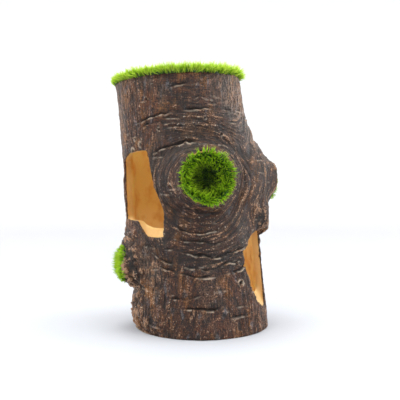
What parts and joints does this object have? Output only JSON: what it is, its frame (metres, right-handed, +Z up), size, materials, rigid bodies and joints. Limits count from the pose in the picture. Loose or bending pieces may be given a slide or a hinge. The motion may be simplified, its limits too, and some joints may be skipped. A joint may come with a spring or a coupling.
{
  "type": "hollow log insect hotel",
  "caption": "Hollow tree-trunk shelter with an open top, two side windows and cut branch stubs, all topped with tufted moss.",
  "frame": {"origin": "centre of the foot's flat underside, on the surface that it stands on", "axes": "+Z up along the trunk, -Y towards the front with the large moss-filled hollow, +X towards the side stub above the low window"},
  "size_m": [0.0818, 0.0724, 0.1274],
  "materials": {
    "cast_resin": "painted bark outside, bare ochre resin inside",
    "moss_glue": "dull dark green glue",
    "moss_fibre": "static grass fibre"
  },
  "bodies": {
    "root": {"trunk_shell": "cast_resin", "rim_moss_bed": "moss_glue", "rim_moss_pile": "moss_fibre", "front_moss_bed": "moss_glue", "front_moss_pile": "moss_fibre", "side_moss_bed": "moss_glue", "side_moss_pile": "moss_fibre", "low_moss_bed": "moss_glue", "low_moss_pile": "moss_fibre"}
  },
  "joints": []
}
